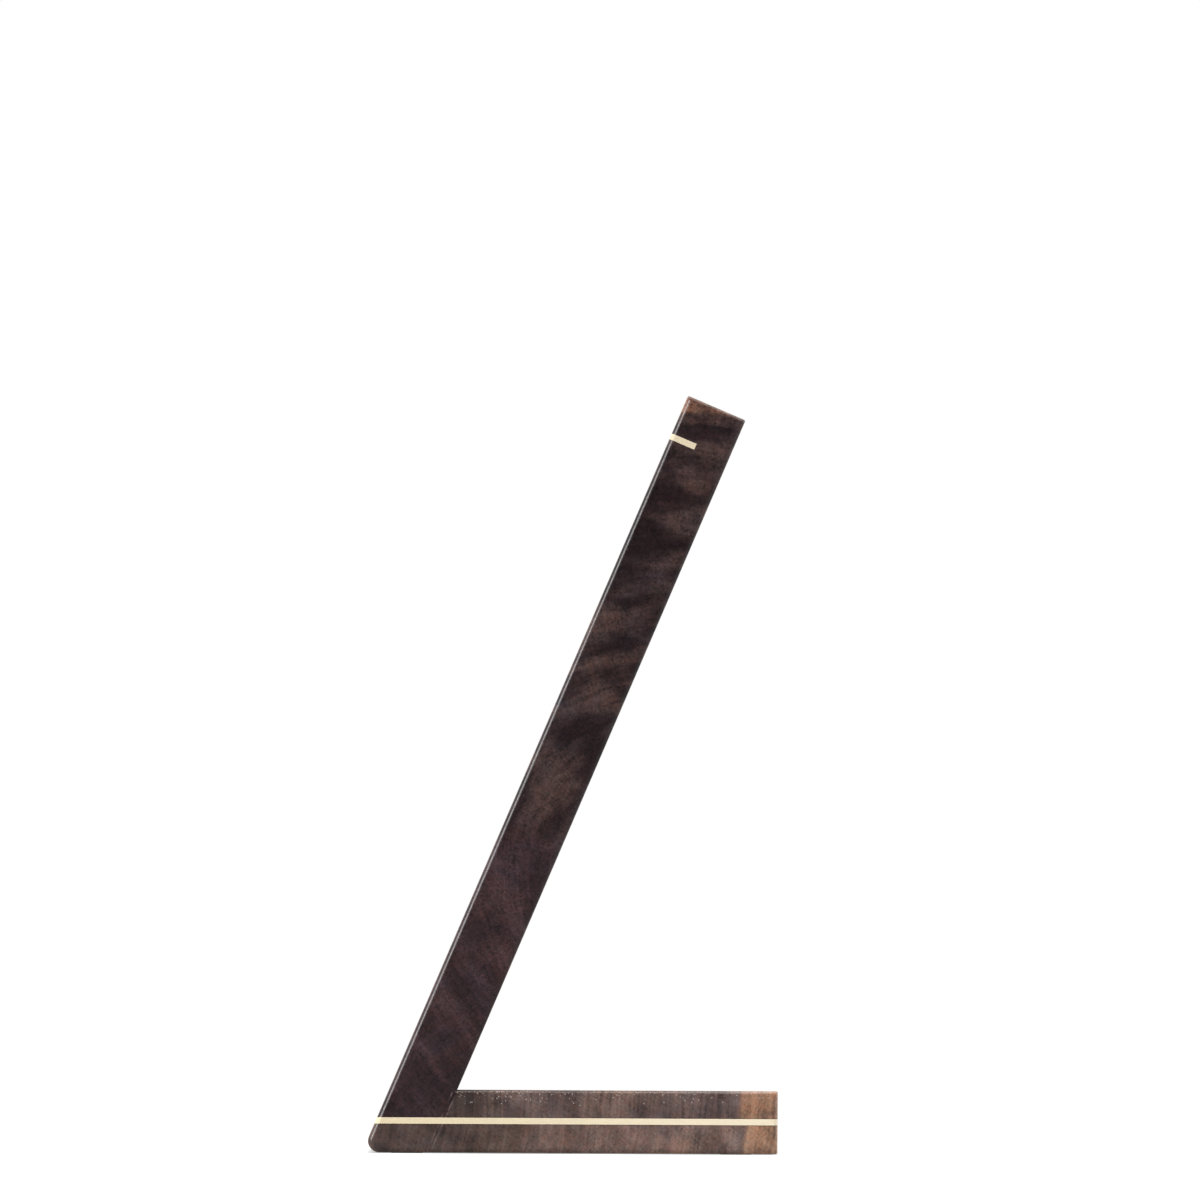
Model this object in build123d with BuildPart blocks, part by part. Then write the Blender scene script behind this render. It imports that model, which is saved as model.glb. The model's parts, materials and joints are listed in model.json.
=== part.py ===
"""Free-standing magnetic knife rack.

A walnut plank leans back over a walnut base of the same thickness. A maple sheet lies all through the
foot of the rack and shows as a pale line round it. Above the sheet the base butts against the plank's
rear face. Below it, a toe piece carries the plank's line on down to the table, and the base's lower
layer butts against that on the same bevel. A maple key is let into the front face near the top. All the
wood's fibres run along X.

The plank is two leaves, glued face to face. Stopped channels in the glued faces hold disc magnets
against a thin web of wood, with a steel keeper bar behind each row, so that knives hold on the front and
on the rear.

Millimetres. +X across the rack, +Y from the front to the rear, +Z up. The origin is on the table, under
the centre of the outline.
"""

import os
from math import cos, radians, sin, tan

from build123d import *

# Whole rack
rack_width = 220.0
plank_thickness = 23.2
plank_length = 304.8  # along the front face, from the toe before it is rounded
lean_angle = 23.0  # plank, from the vertical
base_depth = 153.4  # from the toe before it is rounded to the rear end
toe_radius = 4.2
arris_radius = 2.0  # along both sides of the outline
end_arris_radius = 0.7  # across the top end of the plank and the rear end of the base

# Maple
lower_layer = 10.6  # walnut below the maple sheet
sheet_thickness = 2.3
key_depth = 10.0
key_drop = 15.4  # top end of the plank to the key

# Magnets and keeper bars
web_thickness = 2.0  # wood left between a magnet and the knife
magnet_diameter = 20.0
magnet_thickness = 5.0
magnet_pitch = 32.0
magnets_per_row = 6
magnet_chamfer = 0.3
keeper_width = 20.0
keeper_thickness = 4.0
keeper_arris = 0.4
channel_width = 20.4
row_drops = {"upper": 42.0, "lower": 112.0}  # top end of the plank to the middle of the row

# Feet
foot_diameter = 12.0
foot_thickness = 2.0
foot_stand = 0.3  # part of the thickness that stands out below the wood
foot_rounding = 0.4
foot_recess_diameter = 12.3
foot_inset_x = 18.0
front_foot_inset = 16.6  # from the toe before it is rounded
rear_foot_inset = 15.0  # from the rear end

# Positions worked out from those
lean = radians(lean_angle)
wood_bottom = foot_stand
toe_angle = radians(90 - lean_angle)
toe_loss = toe_radius / tan(toe_angle / 2) - toe_radius  # depth that the rounding takes off
toe_y = -(base_depth + toe_loss) / 2
rear_y = toe_y + base_depth
base_top = wood_bottom + plank_thickness
along_plank = Vector(0, sin(lean), cos(lean))
front_normal = Vector(0, -cos(lean), sin(lean))
toe = Vector(0, toe_y, wood_bottom)
top_front = toe + along_plank * plank_length
top_rear = top_front - front_normal * plank_thickness
inner_corner_y = toe_y + plank_thickness / cos(lean) + plank_thickness * tan(lean)
channel_depth = plank_thickness / 2 - web_thickness
key_length = rack_width + 2  # longer than the rack is wide: the outline trims it

# Planes. On the plank's planes local x runs across the rack and local y up the plank, from its top end.
front_plane = Plane(origin=top_front, x_dir=(1, 0, 0), z_dir=front_normal)
glue_plane = front_plane.offset(-plank_thickness / 2)
rear_plane = front_plane.offset(-plank_thickness)
sheet_bottom_plane = Plane.XY.offset(wood_bottom + lower_layer)
sheet_top_plane = sheet_bottom_plane.offset(sheet_thickness)

key_place = (0, -(key_drop + sheet_thickness / 2))
end_magnet_spacing = (magnets_per_row - 1) * magnet_pitch
foot_x = rack_width / 2 - foot_inset_x
foot_places = {
    "front_left": (-foot_x, toe_y + front_foot_inset),
    "front_right": (foot_x, toe_y + front_foot_inset),
    "rear_left": (-foot_x, rear_y - rear_foot_inset),
    "rear_right": (foot_x, rear_y - rear_foot_inset),
}


def write(piece, name):
    """Labels a finished piece and writes it as one STEP."""
    piece.part.label = name
    export_step(piece.part, f"parts/{name}.step")


os.makedirs("parts", exist_ok=True)

# The whole outline, as it is shaped and rounded over after glueing
with BuildPart() as outline:
    with BuildSketch(Plane.YZ):
        with BuildLine():
            Polyline(
                (toe.Y, toe.Z),
                (top_front.Y, top_front.Z),
                (top_rear.Y, top_rear.Z),
                (inner_corner_y, base_top),
                (rear_y, base_top),
                (rear_y, wood_bottom),
                close=True,
            )
        make_face()
    extrude(amount=rack_width / 2, both=True)
    fillet(edges().filter_by(Axis.X).sort_by(Axis.Y)[0], toe_radius)
    by_side = edges().group_by(Axis.X)
    fillet(by_side[0] + by_side[-1], arris_radius)
    across = edges().filter_by(Axis.X)
    fillet(across.sort_by(Axis.Z)[-2:] + across.group_by(Axis.Y)[-1], end_arris_radius)

# Cuts that more than one piece takes
with BuildSketch(glue_plane) as channels:
    with Locations(*[(0, -drop) for drop in row_drops.values()]):
        SlotCenterToCenter(end_magnet_spacing, channel_width)

with BuildSketch(Plane.XY) as foot_recesses:
    with Locations(*foot_places.values()):
        Circle(foot_recess_diameter / 2)

# Leaning plank, above the maple sheet
with BuildPart() as front_leaf:
    add(outline.part)
    split(bisect_by=sheet_top_plane, keep=Keep.TOP)
    split(bisect_by=glue_plane, keep=Keep.TOP)
    extrude(channels.sketch, amount=channel_depth, mode=Mode.SUBTRACT)
    with BuildSketch(front_plane):
        with Locations(key_place):
            Rectangle(key_length, sheet_thickness)
    extrude(amount=-key_depth, mode=Mode.SUBTRACT)
write(front_leaf, "front_leaf")

with BuildPart() as rear_leaf:
    add(outline.part)
    split(bisect_by=sheet_top_plane, keep=Keep.TOP)
    split(bisect_by=glue_plane, keep=Keep.BOTTOM)
    split(bisect_by=rear_plane, keep=Keep.TOP)
    extrude(channels.sketch, amount=-channel_depth, mode=Mode.SUBTRACT)
write(rear_leaf, "rear_leaf")

# Toe, under the plank and below the maple sheet
with BuildPart() as toe_piece:
    add(outline.part)
    split(bisect_by=sheet_bottom_plane, keep=Keep.BOTTOM)
    split(bisect_by=rear_plane, keep=Keep.TOP)
    extrude(foot_recesses.sketch, amount=foot_thickness, mode=Mode.SUBTRACT)
write(toe_piece, "toe")

# Base, butted against the plank's rear face above the sheet and against the toe below it
with BuildPart() as base_upper_layer:
    add(outline.part)
    split(bisect_by=sheet_top_plane, keep=Keep.TOP)
    split(bisect_by=rear_plane, keep=Keep.BOTTOM)
write(base_upper_layer, "base_upper_layer")

with BuildPart() as base_lower_layer:
    add(outline.part)
    split(bisect_by=sheet_bottom_plane, keep=Keep.BOTTOM)
    split(bisect_by=rear_plane, keep=Keep.BOTTOM)
    extrude(foot_recesses.sketch, amount=foot_thickness, mode=Mode.SUBTRACT)
write(base_lower_layer, "base_lower_layer")

# Maple
with BuildPart() as maple_sheet:
    add(outline.part)
    split(bisect_by=sheet_bottom_plane, keep=Keep.TOP)
    split(bisect_by=sheet_top_plane, keep=Keep.BOTTOM)
write(maple_sheet, "maple_sheet")

with BuildPart() as maple_key:
    add(outline.part)
    with BuildSketch(front_plane):
        with Locations(key_place):
            Rectangle(key_length, sheet_thickness)
    extrude(amount=-key_depth, mode=Mode.INTERSECT)
write(maple_key, "maple_key")

# Magnets and keeper bars: the same in each leaf, set in from its own outer face
for side, outer_plane, inward in (("front", front_plane, -1), ("rear", rear_plane, 1)):
    magnet_plane = outer_plane.offset(inward * web_thickness)
    keeper_plane = magnet_plane.offset(inward * magnet_thickness)
    for row, drop in row_drops.items():
        with BuildPart() as keeper_bar:
            with BuildSketch(keeper_plane):
                with Locations((0, -drop)):
                    SlotCenterToCenter(end_magnet_spacing, keeper_width)
            extrude(amount=inward * keeper_thickness)
            chamfer(edges().filter_by(keeper_plane), keeper_arris)
        write(keeper_bar, f"{side}_keeper_bar_{row}")

        for number in range(1, magnets_per_row + 1):
            magnet_x = (number - (magnets_per_row + 1) / 2) * magnet_pitch
            with BuildPart() as magnet:
                with BuildSketch(magnet_plane):
                    with Locations((magnet_x, -drop)):
                        Circle(magnet_diameter / 2)
                extrude(amount=inward * magnet_thickness)
                chamfer(edges().filter_by(GeomType.CIRCLE), magnet_chamfer)
            write(magnet, f"{side}_magnet_{row}_{number}")

# Feet
for name, place in foot_places.items():
    with BuildPart() as foot:
        with BuildSketch(Plane.XY):
            with Locations(place):
                Circle(foot_diameter / 2)
        extrude(amount=foot_thickness)
        fillet(edges().group_by(Axis.Z)[0], foot_rounding)
    write(foot, f"foot_{name}")
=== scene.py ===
import json
from collections import namedtuple
from math import cos, pi, radians, sin

import bpy
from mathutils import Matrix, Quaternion, Vector


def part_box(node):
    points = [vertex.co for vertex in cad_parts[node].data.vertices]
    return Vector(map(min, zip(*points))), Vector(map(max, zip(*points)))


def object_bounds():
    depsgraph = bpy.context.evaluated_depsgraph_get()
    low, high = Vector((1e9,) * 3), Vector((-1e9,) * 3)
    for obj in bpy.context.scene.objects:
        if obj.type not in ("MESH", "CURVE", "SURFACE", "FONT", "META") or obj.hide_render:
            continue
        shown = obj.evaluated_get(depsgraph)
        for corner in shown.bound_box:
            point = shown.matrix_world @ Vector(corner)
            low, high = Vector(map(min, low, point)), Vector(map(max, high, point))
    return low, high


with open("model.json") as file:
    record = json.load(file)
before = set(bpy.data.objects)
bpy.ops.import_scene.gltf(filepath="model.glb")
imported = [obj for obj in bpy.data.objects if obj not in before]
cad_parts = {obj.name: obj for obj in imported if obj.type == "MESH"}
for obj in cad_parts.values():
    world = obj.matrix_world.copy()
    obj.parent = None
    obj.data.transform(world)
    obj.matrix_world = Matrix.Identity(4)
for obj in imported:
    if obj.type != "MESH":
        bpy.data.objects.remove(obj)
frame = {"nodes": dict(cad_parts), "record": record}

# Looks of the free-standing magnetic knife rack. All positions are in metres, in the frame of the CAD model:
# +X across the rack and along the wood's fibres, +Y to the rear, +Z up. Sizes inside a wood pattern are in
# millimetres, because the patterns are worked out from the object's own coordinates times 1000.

CAD_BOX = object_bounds()
NODES = frame["nodes"]
MOUNTS = {mount["name"]: mount for mount in frame["record"]["mounts"]}
MM = 1000.0

# The plank's own directions and the planes that the joints lie in
FRONT_NORMAL = Vector(MOUNTS["front_knife_face"]["axis"])
FRONT_POINT = Vector(MOUNTS["front_knife_face"]["pos_m"])
INWARD = -FRONT_NORMAL
UP_PLANK = Vector((0, -INWARD.z, INWARD.y))
SHEET_LOW, SHEET_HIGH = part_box("maple_sheet")
BASE_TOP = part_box("base_upper_layer")[1].z
RACK_LOW, RACK_HIGH = CAD_BOX
REAR_POINT = Vector(MOUNTS["rear_knife_face"]["pos_m"])


def srgb(red, green, blue):
    """A colour given in 0 to 255 as screens show it, as the linear colour that shaders take."""
    shown = [channel / 255 for channel in (red, green, blue)]
    linear = [c / 12.92 if c <= 0.04045 else ((c + 0.055) / 1.055) ** 2.4 for c in shown]
    return (*linear, 1.0)


SHEEN = 0.5  # specular level of the oiled wood
VEIL = 0.008  # linear light that the sheen adds to a side face
DARKEST = 0.0015


def matt(colour):
    """The colour under the sheen, so that wood with the sheen on it looks like the colour given."""
    return (*[max(channel - VEIL, DARKEST) for channel in srgb(*colour)[:3]], 1.0)


# Building node trees


class Graph:
    """Adds nodes to one material. Each method returns the output that the next node takes."""

    def __init__(self, name):
        self.material = bpy.data.materials.new(name)
        self.material.use_nodes = True
        self.tree = self.material.node_tree
        self.shader = self.tree.nodes["Principled BSDF"]
        self.coordinates = self.tree.nodes.new("ShaderNodeTexCoord")

    def put(self, value, socket):
        """Feeds a socket with another node's output, or sets it to a constant."""
        if isinstance(value, bpy.types.NodeSocket):
            self.tree.links.new(value, socket)
        else:
            socket.default_value = value

    def math(self, operation, *values, clamp=False):
        node = self.tree.nodes.new("ShaderNodeMath")
        node.operation = operation
        node.use_clamp = clamp
        for value, socket in zip(values, node.inputs):
            self.put(value, socket)
        return node.outputs[0]

    def vector(self, operation, *values):
        node = self.tree.nodes.new("ShaderNodeVectorMath")
        node.operation = operation
        for value, socket in zip(values, node.inputs):
            self.put(value, socket)
        return node.outputs["Value" if operation in ("DOT_PRODUCT", "LENGTH") else "Vector"]

    def scaled(self, vector, factor):
        node = self.tree.nodes.new("ShaderNodeVectorMath")
        node.operation = "SCALE"
        self.put(vector, node.inputs[0])
        self.put(factor, node.inputs["Scale"])
        return node.outputs["Vector"]

    def combine(self, x, y, z):
        node = self.tree.nodes.new("ShaderNodeCombineXYZ")
        for value, socket in zip((x, y, z), node.inputs):
            self.put(value, socket)
        return node.outputs[0]

    def separate(self, vector):
        node = self.tree.nodes.new("ShaderNodeSeparateXYZ")
        self.put(vector, node.inputs[0])
        return node.outputs

    def noise(self, vector, detail=2.0, roughness=0.5):
        """Smooth noise, one unit of the vector to a bump. Mostly between 0.25 and 0.75."""
        node = self.tree.nodes.new("ShaderNodeTexNoise")
        node.inputs["Scale"].default_value = 1.0
        node.inputs["Detail"].default_value = detail
        node.inputs["Roughness"].default_value = roughness
        self.put(vector, node.inputs["Vector"])
        return node.outputs[0]

    def cells(self, vector):
        """Distance to the nearest scattered point, and a random value for that point."""
        node = self.tree.nodes.new("ShaderNodeTexVoronoi")
        node.inputs["Scale"].default_value = 1.0
        self.put(vector, node.inputs["Vector"])
        return node.outputs["Distance"], self.separate(node.outputs["Color"])[0]

    def ramp(self, value, low, high, to_low=0.0, to_high=1.0):
        """A smooth step from to_low at low to to_high at high."""
        node = self.tree.nodes.new("ShaderNodeMapRange")
        node.interpolation_type = "SMOOTHSTEP"
        for number, socket in zip((value, low, high, to_low, to_high), node.inputs):
            self.put(number, socket)
        return node.outputs[0]

    def bands(self, value, stops):
        """Colours that follow each other along a value. stops are pairs of value and colour."""
        first, last = stops[0][0], stops[-1][0]
        share = self.math("DIVIDE", self.math("SUBTRACT", value, first), last - first)
        node = self.tree.nodes.new("ShaderNodeValToRGB")
        node.color_ramp.interpolation = "CARDINAL"
        elements = node.color_ramp.elements
        while len(elements) < len(stops):
            elements.new(0.5)
        for element, (place, colour) in zip(elements, stops):
            element.position = (place - first) / (last - first)
            element.color = matt(colour)
        self.put(share, node.inputs[0])
        return node.outputs[0]

    def mix(self, share, low, high):
        node = self.tree.nodes.new("ShaderNodeMix")
        node.data_type = "RGBA"
        self.put(share, node.inputs[0])
        self.put(low, node.inputs[6])
        self.put(high, node.inputs[7])
        return node.outputs[2]

    def bump(self, height, distance):
        node = self.tree.nodes.new("ShaderNodeBump")
        node.inputs["Distance"].default_value = distance
        self.put(height, node.inputs["Height"])
        return node.outputs[0]

    def sum(self, *values):
        total = values[0]
        for value in values[1:]:
            total = self.math("ADD", total, value)
        return total

    def swing(self, noise, amount):
        """Noise about 0, stretched to roughly plus or minus the amount."""
        return self.math("MULTIPLY", self.math("SUBTRACT", noise, 0.5), 3 * amount)


# Wood


class Timber:
    """A solid block of wood: where a point lies against the tree's pith, and how the figure runs there."""

    def __init__(self, graph, pith, up, across, wander):
        self.graph = graph
        place = graph.scaled(graph.vector("SUBTRACT", graph.coordinates.outputs["Object"], pith), MM)
        self.along_fibre = graph.separate(place)[0]
        self.up = graph.vector("DOT_PRODUCT", place, up)
        self.across = graph.vector("DOT_PRODUCT", place, across)
        self.grain = self.stretched(0.1)
        bend = graph.swing(graph.noise(graph.scaled(self.grain, 1 / 30)), wander)
        ripple = graph.swing(graph.noise(graph.scaled(self.grain, 1 / 7)), wander * 0.6)
        jag = graph.swing(graph.noise(graph.scaled(self.grain, 1 / 2)), wander * 0.25)
        flat = graph.combine(0.0, self.up, self.across)
        self.radius = graph.sum(graph.vector("LENGTH", flat), bend, ripple, jag)
        self.direction = graph.vector("NORMALIZE", flat)

    def stretched(self, share):
        """Coordinates in which a pattern is drawn out along the fibres by 1 / share."""
        graph = self.graph
        return graph.combine(graph.math("MULTIPLY", self.along_fibre, share), self.up, self.across)

    def streaks(self, width):
        """Lines that follow the growth rings, about this wide, and change slowly along them."""
        graph = self.graph
        ring = graph.math("DIVIDE", self.radius, width)
        drift = graph.scaled(self.stretched(0.15), 1 / 22)
        return graph.noise(graph.vector("ADD", graph.combine(ring, 0.0, 0.0), drift))

    def rays(self, pitch, radius):
        """Fine lines across the rings, this far apart at this radius."""
        graph = self.graph
        around = graph.scaled(self.direction, radius / pitch)
        outward = graph.math("DIVIDE", self.radius, 14)
        return graph.noise(graph.vector("ADD", around, graph.combine(outward, 0.0, 0.0)))

    def scratches(self, angle):
        """Fine lines left by sanding, at this many degrees from level."""
        graph = self.graph
        turned = graph.math("ADD", graph.math("MULTIPLY", self.up, cos(radians(angle))),
                            graph.math("MULTIPLY", self.across, sin(radians(angle))))
        other = graph.math("SUBTRACT", graph.math("MULTIPLY", self.across, cos(radians(angle))),
                           graph.math("MULTIPLY", self.up, sin(radians(angle))))
        fine = graph.math("DIVIDE", turned, 0.7)
        long = graph.math("DIVIDE", other, 8)
        return graph.noise(graph.combine(self.along_fibre, fine, long))


def end_grain(graph):
    """1 on the faces that cut the fibres, 0 on the faces along them."""
    facing = graph.separate(graph.coordinates.outputs["Normal"])[0]
    return graph.ramp(graph.math("ABSOLUTE", facing), 0.35, 0.9)


def near_level(graph, height, width):
    """1 within this many millimetres of a level, in metres."""
    level = graph.separate(graph.coordinates.outputs["Object"])[2]
    away = graph.math("ABSOLUTE", graph.math("MULTIPLY", graph.math("SUBTRACT", level, height), MM))
    return graph.ramp(away, width * 0.5, width, 1.0, 0.0)


def specks(graph, spacing, size, share):
    """Scattered dots, about this far apart if the share of cells that hold one is 1. Millimetres."""
    place = graph.scaled(graph.coordinates.outputs["Object"], MM)
    uneven = graph.noise(graph.scaled(place, 1 / size), detail=1)
    distance, chance = graph.cells(graph.scaled(place, 1 / spacing))
    distance = graph.math("ADD", distance, graph.swing(uneven, size * 0.25 / spacing))
    held = graph.math("GREATER_THAN", chance, graph.math("SUBTRACT", 1.0, share))
    return graph.math("MULTIPLY", graph.ramp(distance, size * 0.4 / spacing, size / spacing, 1.0, 0.0), held)


SCRATCH_OFFSET = 1.3  # millimetres from the joint


def joint_lines(graph, cut):
    """The glued joint in line with the plank's rear face, and a scratch beside it, on the foot's sides."""
    place = graph.vector("SUBTRACT", graph.coordinates.outputs["Object"], REAR_POINT)
    distance = graph.math("MULTIPLY", graph.vector("DOT_PRODUCT", place, INWARD), MM)
    away = graph.math("MINIMUM", graph.math("ABSOLUTE", distance),
                      graph.math("ABSOLUTE", graph.math("ADD", distance, SCRATCH_OFFSET)))
    level = graph.separate(graph.coordinates.outputs["Object"])[2]
    inside = graph.math("LESS_THAN", level, BASE_TOP)
    patchy = graph.ramp(graph.noise(graph.scaled(graph.coordinates.outputs["Object"], MM / 2)), 0.4, 0.65)
    return graph.math("MULTIPLY", graph.ramp(away, 0.05, 0.4, 1.0, 0.0),
                      graph.math("MULTIPLY", graph.math("MULTIPLY", inside, cut), patchy))


# Dust on the base's sides thins out between these two places, in metres
DUST_FRONT = RACK_LOW.y + 0.075
DUST_REAR = RACK_LOW.y + 0.125


def dust_share(graph, cut):
    """How much pale dust has stuck to the sides of the base, just below its upper edge."""
    x, y, z = graph.separate(graph.coordinates.outputs["Object"])
    depth = graph.math("MULTIPLY", graph.math("SUBTRACT", BASE_TOP, z), MM)
    upper = graph.ramp(depth, 0.5, 6.0, 1.5, 0.0)
    front = graph.ramp(y, DUST_FRONT, DUST_REAR, 1.0, 0.25)
    cloud = graph.noise(graph.scaled(graph.coordinates.outputs["Object"], MM / 9))
    clumps = graph.ramp(cloud, 0.4, 0.62, 0.2, 1.4)
    return graph.math("MULTIPLY", graph.math("MULTIPLY", upper, front), graph.math("MULTIPLY", clumps, cut))


Tones = namedtuple("Tones", "dark middle pale")
RING_GROUP = 9.0  # millimetres from one dark group of rings to the next, roughly
SIDE_BLEND = 10.0  # millimetres either way over which the tones of the pith's two sides meet


def ring_tones(graph, timber, tones):
    """Dark, middle and pale wood by turns, from one group of rings to the next."""
    stops = [(0.37, tones.dark), (0.5, tones.middle), (0.64, tones.pale)]
    return graph.bands(timber.streaks(RING_GROUP), stops)


def wood_tone(graph, timber, wood):
    """The board's colour before light and dark streaks: rings, painted shade at the foot and the sapwood."""
    side = graph.ramp(timber.up, -SIDE_BLEND, SIDE_BLEND)
    tone = graph.mix(side, ring_tones(graph, timber, wood["below"]), ring_tones(graph, timber, wood["above"]))
    # Painted shade: the wood grows darker towards the foot.
    if "foot_light_in_painted_shade" in wood:
        start, end = wood["foot_radii"]
        tone = graph.scaled(tone, graph.ramp(timber.radius, start, end, wood["foot_light_in_painted_shade"], 1.0))
    edge = wood["sapwood_radius"]
    return graph.mix(graph.ramp(timber.radius, edge - 1.0, edge + 1.5), tone, matt(wood["sapwood"]))


def walnut(name, timber_frame, board, lines=0.32, mottle=0.2, grit=0.8, vivid=1.0, dusty=0.0):
    """Oiled walnut. lines, mottle and grit are the strengths of its streaks, clouds and fibres."""
    graph = Graph(name)
    timber = Timber(graph, **timber_frame)
    cut = end_grain(graph)
    tone = wood_tone(graph, timber, board)

    # Light and dark along the rings, across them, in patches, and from fibre to fibre
    fibres = graph.noise(graph.scaled(timber.stretched(0.03), 1 / 0.9), detail=2, roughness=0.7)
    light = graph.sum(
        1.0,
        graph.swing(timber.streaks(0.8), lines),
        graph.swing(timber.streaks(1.8), lines),
        graph.swing(timber.streaks(4.5), lines * 0.6),
        graph.swing(timber.rays(0.9, 80.0), 0.3),
        graph.swing(timber.scratches(28), 0.2),
        graph.swing(timber.scratches(-62), 0.14),
        graph.swing(graph.noise(graph.scaled(timber.grain, 1 / 5), detail=4), mottle),
        graph.swing(graph.noise(graph.scaled(timber.grain, 1 / 18)), mottle / 2),
        graph.swing(fibres, grit),
    )
    shaded = graph.scaled(tone, graph.math("MAXIMUM", light, 0.25))

    # Purple-grey and red-brown patches, large and small
    patch = graph.noise(graph.scaled(timber.grain, 1 / 14), detail=2)
    tint = graph.mix(graph.ramp(patch, 0.35, 0.7, 0.0, vivid), (1.05, 0.97, 0.92, 1), (0.93, 0.98, 1.12, 1))
    fleck = graph.noise(graph.scaled(timber.grain, 1 / 2.5), detail=2)
    hue = graph.mix(graph.ramp(fleck, 0.3, 0.7), (1.06, 0.98, 0.95, 1), (0.94, 1.02, 1.05, 1))
    tinted = graph.vector("MULTIPLY", shaded, graph.vector("MULTIPLY", tint, hue))

    # Blue-black stains in the dark wood
    blot = graph.ramp(graph.noise(graph.scaled(timber.grain, 1 / 9), detail=3), 0.56, 0.72)
    stain = graph.vector("MULTIPLY", tinted, (0.4, 0.45, 0.55))
    stained = graph.mix(graph.math("MULTIPLY", blot, 0.55), tinted, stain)

    # Pores: long dark dashes on the faces, small dots on the end grain
    distance, chance = graph.cells(graph.scaled(timber.stretched(0.09), 1 / 0.75))
    pore = graph.math("MULTIPLY", graph.ramp(distance, 0.12, 0.3, 1.0, 0.0), graph.ramp(chance, 0.35, 0.5))
    depth = graph.math("MULTIPLY", pore, graph.ramp(cut, 0.0, 1.0, 0.55, 0.2))
    porous = graph.mix(depth, stained, graph.scaled(stained, 0.35))

    # Faces along the fibres are lighter and browner than the end grain
    lighter = graph.vector("MULTIPLY", porous, (1.75, 1.62, 1.4))
    brown = graph.scaled((1.4, 0.95, 0.74), graph.vector("DOT_PRODUCT", lighter, (0.21, 0.72, 0.07)))
    wood = graph.mix(cut, graph.mix(0.45, lighter, brown), porous)

    # Glue: dark lines against the maple sheet, faint pale ones at the joint behind the plank
    glue = graph.math("MAXIMUM", near_level(graph, SHEET_LOW.z, 0.3), near_level(graph, SHEET_HIGH.z, 0.3))
    wood = graph.mix(graph.math("MULTIPLY", glue, 0.65), wood, srgb(40, 27, 18))
    wood = graph.mix(graph.math("MULTIPLY", joint_lines(graph, cut), 0.3), wood, srgb(165, 142, 136))

    # Specks of pale dust
    speck = graph.math("MULTIPLY", specks(graph, 1.3, 0.28, 0.012), 0.4)
    wood = graph.mix(speck, wood, srgb(190, 178, 168))
    if dusty:
        share = dust_share(graph, cut)
        coarse = specks(graph, 1.1, 0.34, graph.math("MULTIPLY", share, dusty))
        fine = specks(graph, 0.7, 0.2, graph.math("MULTIPLY", share, dusty))
        coarse = graph.math("MULTIPLY", coarse, 0.5)
        fine = graph.math("MULTIPLY", fine, 0.4)
        speck = graph.math("ADD", coarse, fine, clamp=True)
        wood = graph.mix(speck, wood, srgb(205, 195, 188))

    graph.put(wood, graph.shader.inputs["Base Color"])
    fuzz = graph.noise(graph.scaled(timber.stretched(0.05), 1 / 1.5), detail=3)
    graph.put(graph.ramp(fuzz, 0.25, 0.75, 0.26, 0.36), graph.shader.inputs["Roughness"])
    graph.shader.inputs["Specular IOR Level"].default_value = SHEEN
    relief = graph.math("SUBTRACT", graph.math("MULTIPLY", fuzz, 0.4), pore)
    graph.put(graph.bump(relief, 0.00006), graph.shader.inputs["Normal"])
    return graph.material


def maple(name, front_tone, rear_tone):
    """Pale maple, from one tone at the rack's front to another at its rear; the change between them is
    painted light.
    """
    graph = Graph(name)
    place = graph.scaled(graph.coordinates.outputs["Object"], MM)
    x, y, z = graph.separate(place)
    # Painted light: the tone brightens from the front to the rear.
    tone = graph.bands(y, [(RACK_LOW.y * MM, front_tone), (RACK_HIGH.y * MM, rear_tone)])
    fibre = graph.combine(graph.math("MULTIPLY", x, 0.02), graph.math("MULTIPLY", y, 0.2), z)
    light = graph.sum(
        1.0,
        graph.swing(graph.noise(graph.scaled(fibre, 1 / 0.6), detail=3), 0.05),
        graph.swing(graph.noise(graph.scaled(fibre, 1 / 4)), 0.03),
    )
    distance, chance = graph.cells(graph.scaled(fibre, 1 / 0.5))
    fleck = graph.math("MULTIPLY", graph.ramp(distance, 0.1, 0.3, 0.35, 0.0), graph.ramp(chance, 0.8, 0.85))
    wood = graph.mix(fleck, graph.scaled(tone, light), srgb(176, 140, 98))
    graph.put(wood, graph.shader.inputs["Base Color"])
    graph.shader.inputs["Roughness"].default_value = 0.5
    graph.shader.inputs["Specular IOR Level"].default_value = 0.3
    return graph.material


# Metal and silicone


def nickel(name):
    graph = Graph(name)
    place = graph.scaled(graph.coordinates.outputs["Object"], MM)
    cloud = graph.noise(graph.scaled(place, 1 / 3), detail=4)
    graph.put(graph.mix(cloud, srgb(196, 195, 188), srgb(226, 225, 220)), graph.shader.inputs["Base Color"])
    graph.put(graph.ramp(cloud, 0.3, 0.7, 0.12, 0.24), graph.shader.inputs["Roughness"])
    graph.shader.inputs["Metallic"].default_value = 1.0
    return graph.material


def rolled_steel(name):
    graph = Graph(name)
    place = graph.scaled(graph.coordinates.outputs["Object"], MM)
    x, y, z = graph.separate(place)
    drawn = graph.combine(graph.math("MULTIPLY", x, 0.01), y, z)
    lines = graph.noise(graph.scaled(drawn, 1 / 0.3), detail=3)
    cloud = graph.noise(graph.scaled(place, 1 / 9), detail=4)
    tone = graph.mix(cloud, srgb(118, 120, 124), srgb(160, 160, 160))
    graph.put(graph.scaled(tone, graph.ramp(lines, 0.2, 0.8, 0.85, 1.1)), graph.shader.inputs["Base Color"])
    graph.put(graph.ramp(lines, 0.2, 0.8, 0.3, 0.5), graph.shader.inputs["Roughness"])
    graph.shader.inputs["Metallic"].default_value = 1.0
    return graph.material


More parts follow.
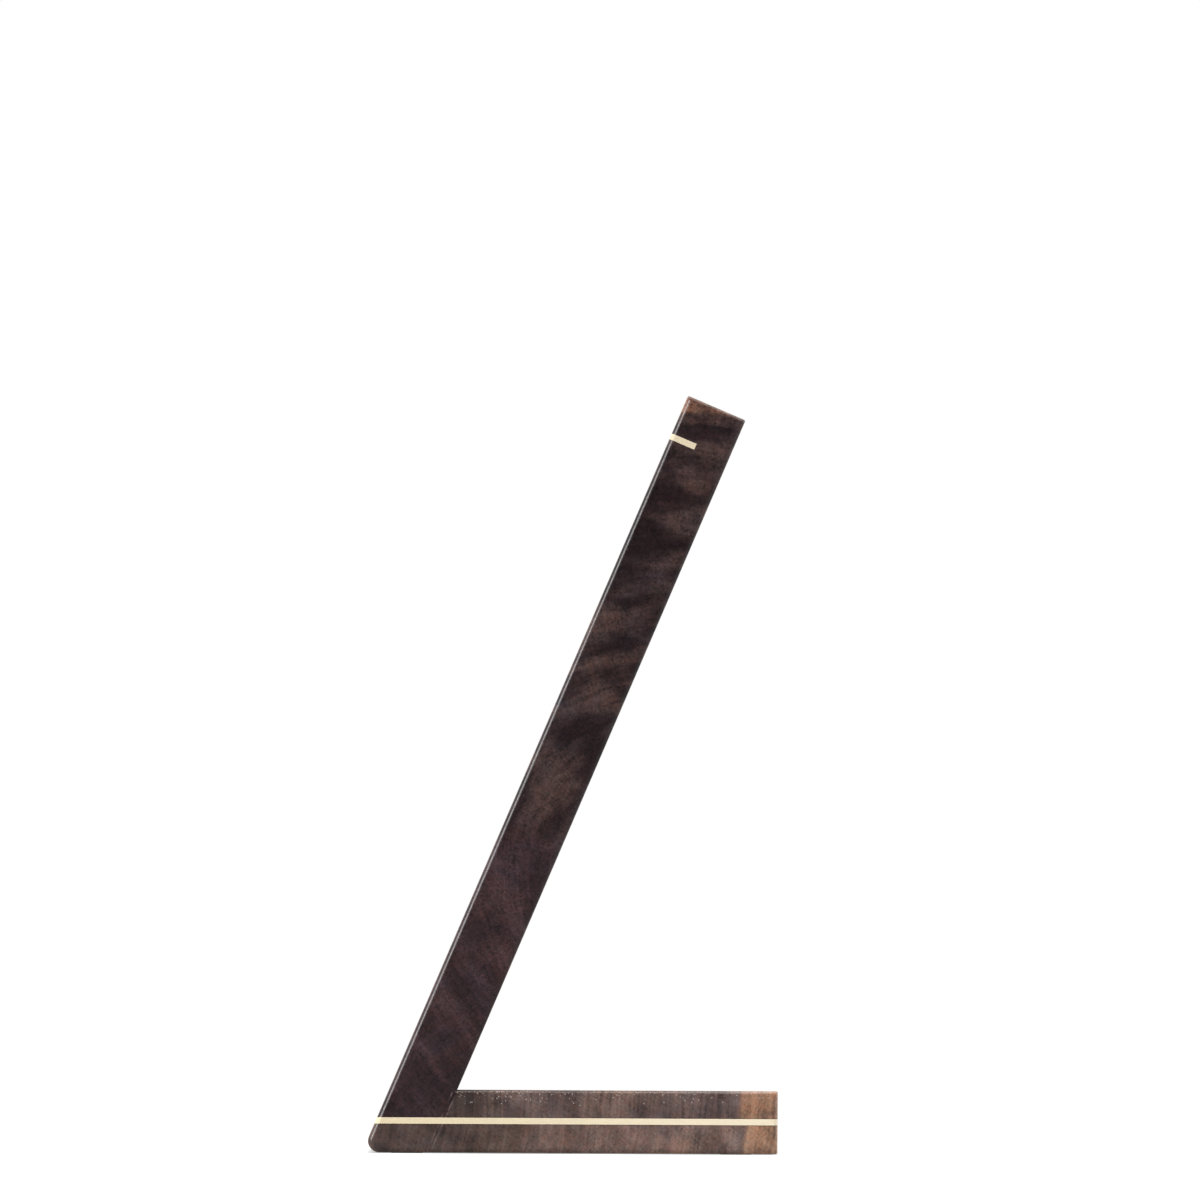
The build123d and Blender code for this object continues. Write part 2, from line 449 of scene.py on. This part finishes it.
def silicone(name):
    graph = Graph(name)
    place = graph.scaled(graph.coordinates.outputs["Object"], MM)
    haze = graph.noise(graph.scaled(place, 1 / 2), detail=3)
    graph.put(graph.mix(haze, srgb(222, 220, 212), srgb(236, 235, 230)), graph.shader.inputs["Base Color"])
    graph.put(graph.ramp(haze, 0.3, 0.7, 0.3, 0.42), graph.shader.inputs["Roughness"])
    return graph.material


# The plank's rings run round a pith behind its rear face. Its wood is a little more purple on the lower side
# of the pith. Radii in millimetres.
PLANK_FRAME = {
    "pith": FRONT_POINT + INWARD * 0.060 - UP_PLANK * 0.092,
    "up": UP_PLANK,
    "across": INWARD,
    "wander": 1.3,
}
PLANK_WOOD = {
    "above": Tones(dark=(37, 28, 30), middle=(54, 42, 42), pale=(72, 57, 54)),
    "below": Tones(dark=(49, 36, 38), middle=(57, 42, 44), pale=(66, 50, 52)),
    "sapwood_radius": 173,
    "sapwood": (108, 80, 68),
}

# The base's rings are nearly flat and upright, so their pith lies far in front of the toe. Painted shade
# darkens the wood towards the foot, and the rear end is paler sapwood.
PITH_DISTANCE = 0.4  # metres
TOE_LOSS = 0.00215  # metres that the toe's rounding takes off
SAPWOOD_FROM_TOE = 139  # millimetres
FOOT_START = 28.0  # millimetres from the toe: the painted shade is darkest up to here


def base_frame(height, tilt):
    """Rings that lean this many degrees, seen level with this height in metres."""
    outward = Vector((0, 1, -radians(tilt))).normalized()
    return {
        "pith": Vector((0, RACK_LOW.y - TOE_LOSS, height)) - outward * PITH_DISTANCE,
        "up": Vector((0, -outward.z, outward.y)),
        "across": outward,
        "wander": 0.8,
    }


def base_wood(tones, sapwood, foot_end, foot_light_in_painted_shade):
    """One layer of the base. At the foot, painted shade leaves it only the given share as light, and the
    shade clears by foot_end.
    """
    return {
        "above": tones,
        "below": tones,
        "sapwood_radius": PITH_DISTANCE * MM + SAPWOOD_FROM_TOE,
        "sapwood": sapwood,
        "foot_radii": (PITH_DISTANCE * MM + FOOT_START, PITH_DISTANCE * MM + foot_end),
        "foot_light_in_painted_shade": foot_light_in_painted_shade,
    }


UPPER_FRAME = base_frame(height=(SHEET_HIGH.z + BASE_TOP) / 2, tilt=3)
UPPER_WOOD = base_wood(
    tones=Tones(dark=(88, 73, 70), middle=(100, 84, 80), pale=(112, 94, 88)),
    sapwood=(146, 114, 94),
    foot_end=62,
    foot_light_in_painted_shade=0.33,
)
LOWER_FRAME = base_frame(height=SHEET_LOW.z / 2, tilt=12)
LOWER_WOOD = base_wood(
    tones=Tones(dark=(104, 86, 80), middle=(115, 96, 90), pale=(128, 107, 98)),
    sapwood=(156, 122, 99),
    foot_end=85,
    foot_light_in_painted_shade=0.45,
)

FINISHES = {
    "walnut_plank": walnut("plank_walnut", PLANK_FRAME, PLANK_WOOD),
    "walnut_base": walnut(
        "base_walnut", UPPER_FRAME, UPPER_WOOD, lines=0.36, mottle=0.06, grit=0.4, vivid=0.5, dusty=0.6
    ),
    # The sheet is painted lighter towards the rear: painted light, not a change in the wood.
    "maple": maple("maple", front_tone=(227, 211, 177), rear_tone=(249, 235, 207)),
    "magnet": nickel("nickel"),
    "keeper": rolled_steel("rolled_steel"),
    "foot": silicone("silicone"),
}
LOWER_WALNUT = walnut("lower_walnut", LOWER_FRAME, LOWER_WOOD, lines=0.28, mottle=0.1, grit=0.45, vivid=0.5)
BELOW_SHEET = ("toe", "base_lower_layer")
KEY_MAPLE = maple("key_maple", front_tone=(220, 205, 176), rear_tone=(220, 205, 176))
for entry in frame["record"]["subparts"]:
    node = entry["node"]
    finish = FINISHES[entry["material_slot"]]
    if node in BELOW_SHEET:
        finish = LOWER_WALNUT
    if node == "maple_key":
        finish = KEY_MAPLE
    NODES[node].data.materials.clear()
    NODES[node].data.materials.append(finish)


# Stage, light and camera


def make_floor():
    """A pale table that glows a little, so that it stays white to the horizon; its glow dims near and under
    the rack as a painted contact shadow.
    """
    size = 12.0
    corners = [(-size, -size, 0), (size, -size, 0), (size, size, 0), (-size, size, 0)]
    mesh = bpy.data.meshes.new("floor")
    mesh.from_pydata(corners, [], [(0, 1, 2, 3)])
    floor = bpy.data.objects.new("floor", mesh)
    bpy.context.scene.collection.objects.link(floor)
    graph = Graph("floor")
    graph.shader.inputs["Base Color"].default_value = (0.3, 0.3, 0.3, 1)
    graph.shader.inputs["Emission Color"].default_value = (1, 1, 1, 1)
    openness = graph.tree.nodes.new("ShaderNodeAmbientOcclusion")
    openness.inputs["Distance"].default_value = 0.012
    sight = graph.tree.nodes.new("ShaderNodeLightPath")
    unreflected = graph.math("SUBTRACT", 1.0, sight.outputs["Is Glossy Ray"])
    seen_as = graph.ramp(sight.outputs["Is Diffuse Ray"], 0.0, 1.0, 1.0, 0.35)
    # Painted contact shadow: the glow dims where the rack hides the table.
    clear = graph.ramp(openness.outputs["AO"], 0.0, 1.0, 0.35, 0.85)
    glow = graph.math("MULTIPLY", graph.math("MULTIPLY", clear, seen_as), unreflected)
    graph.put(glow, graph.shader.inputs["Emission Strength"])
    graph.shader.inputs["Roughness"].default_value = 0.9
    graph.shader.inputs["Specular IOR Level"].default_value = 0.0
    mesh.materials.append(graph.material)


def make_world():
    """White to the eye. As a light it is brighter behind the rack and overhead than on the camera's side."""
    world = bpy.data.worlds.new("studio")
    bpy.context.scene.world = world
    world.use_nodes = True
    tree = world.node_tree
    background = tree.nodes["Background"]
    direction = tree.nodes.new("ShaderNodeTexCoord")
    split = tree.nodes.new("ShaderNodeSeparateXYZ")
    tree.links.new(direction.outputs["Generated"], split.inputs[0])
    from_behind = tree.nodes.new("ShaderNodeMapRange")
    from_behind.interpolation_type = "SMOOTHSTEP"
    for socket, value in zip(list(from_behind.inputs)[1:5], (-0.6, 0.7, 1.0, 0.05)):
        socket.default_value = value
    tree.links.new(split.outputs[0], from_behind.inputs[0])
    seen = tree.nodes.new("ShaderNodeLightPath")
    strength = tree.nodes.new("ShaderNodeMix")
    strength.inputs[3].default_value = 1.0
    tree.links.new(seen.outputs["Is Camera Ray"], strength.inputs[0])
    tree.links.new(from_behind.outputs[0], strength.inputs[2])
    tree.links.new(strength.outputs[0], background.inputs["Strength"])
    background.inputs["Color"].default_value = (1, 1, 1, 1)


def make_softbox(name, place, target, width, height, radiance):
    """A rectangular lamp that the camera doesn't see."""
    lamp = bpy.data.lights.new(name, "AREA")
    lamp.shape = "RECTANGLE"
    lamp.size = width
    lamp.size_y = height
    lamp.energy = radiance * pi * width * height
    box = bpy.data.objects.new(name, lamp)
    box.location = place
    box.rotation_euler = (Vector(target) - Vector(place)).to_track_quat("-Z", "Y").to_euler()
    box.visible_camera = False
    bpy.context.scene.collection.objects.link(box)


def make_camera(place, target, seen_width, roll):
    """A long lens that takes in seen_width at the target."""
    camera = bpy.data.cameras.new("camera")
    holder = bpy.data.objects.new("camera", camera)
    bpy.context.scene.collection.objects.link(holder)
    sight = Vector(target) - Vector(place)
    camera.lens = camera.sensor_width * sight.length / seen_width
    camera.clip_start = 0.05
    camera.clip_end = 50.0
    holder.location = place
    holder.rotation_mode = "QUATERNION"
    holder.rotation_quaternion = Quaternion(sight, roll) @ sight.to_track_quat("-Z", "Y")
    bpy.context.scene.camera = holder


near_face = RACK_HIGH.x
camera_distance = 3.5
make_floor()
make_world()
make_softbox("key", (1.4, -1.52, 0.8), target=(0, 0, 0.12), width=1.0, height=1.3, radiance=11.6)
make_softbox("rear_fill", (0.3, 2.0, 0.6), target=(0, 0, 0.1), width=0.7, height=1.0, radiance=7.0)
make_softbox("top", (0.1, 0.1, 1.9), target=(0, 0, 0), width=1.0, height=1.0, radiance=6.0)
make_camera(
    place=(near_face + camera_distance, -0.0527, 0.0236),
    target=(near_face, 0.0090, 0.2047),
    seen_width=0.444,
    roll=radians(-0.29),
)
bpy.context.scene.view_settings.view_transform = "Standard"
